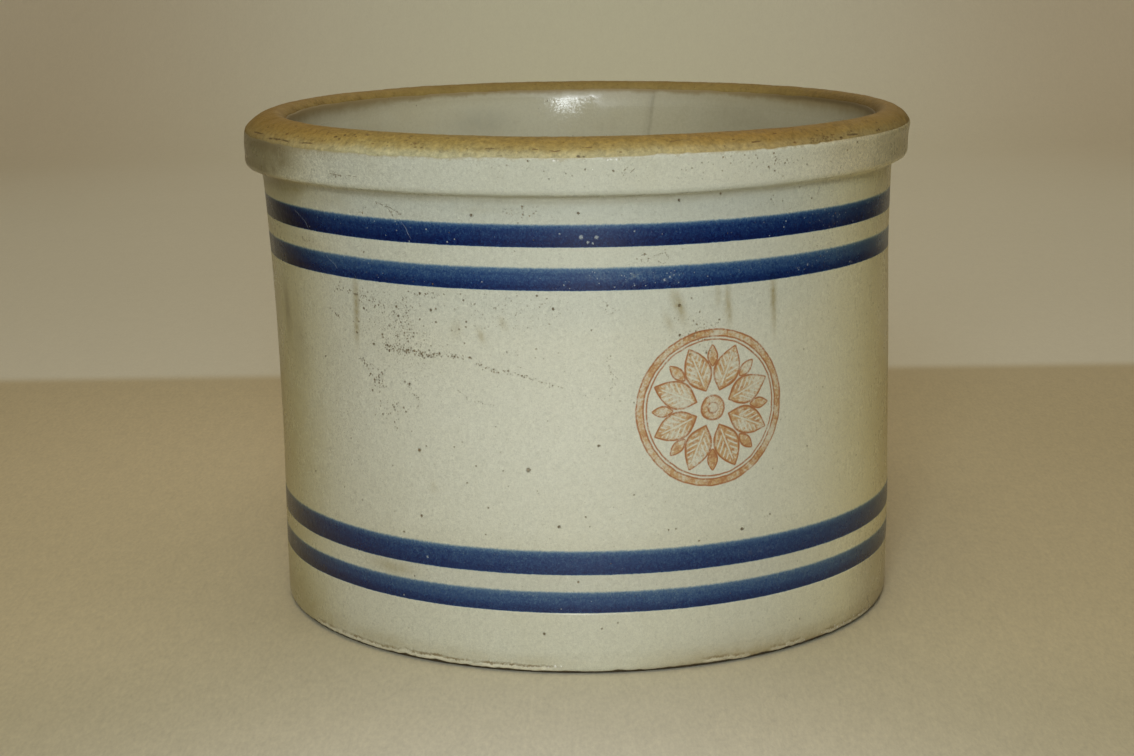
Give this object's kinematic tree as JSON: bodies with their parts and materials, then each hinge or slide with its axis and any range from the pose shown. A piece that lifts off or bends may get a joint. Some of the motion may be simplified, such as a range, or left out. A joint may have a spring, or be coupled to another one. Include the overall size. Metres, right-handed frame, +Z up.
{
  "type": "pantry crock",
  "caption": "Straight-sided open stoneware crock with a rolled collar, a bare rounded rim, pale glaze inside and out, and pairs of blue bands below the collar and above the foot.",
  "frame": {"origin": "middle of the flat base, on the surface that the crock stands on", "axes": "+Z up along the crock's axis of revolution; -Y is the side that the picture shows"},
  "size_m": [0.2152, 0.2152, 0.16],
  "materials": {
    "stoneware_clay": "bare fired tan clay, matt, with brown specks",
    "liner_glaze": "glossy grey-green liner glaze",
    "collar_glaze": "thick satin white glaze with pinholes",
    "wall_glaze": "satin cream glaze with pinholes and brown specks",
    "band_blue": "dark blue painted band under satin glaze"
  },
  "bodies": {
    "root": {"clay_body": "stoneware_clay", "inside_glaze": "liner_glaze", "collar_glaze": "collar_glaze", "wall_glaze": "wall_glaze", "upper_band_top": "band_blue", "upper_band_bottom": "band_blue", "lower_band_top": "band_blue", "lower_band_bottom": "band_blue"}
  },
  "joints": []
}
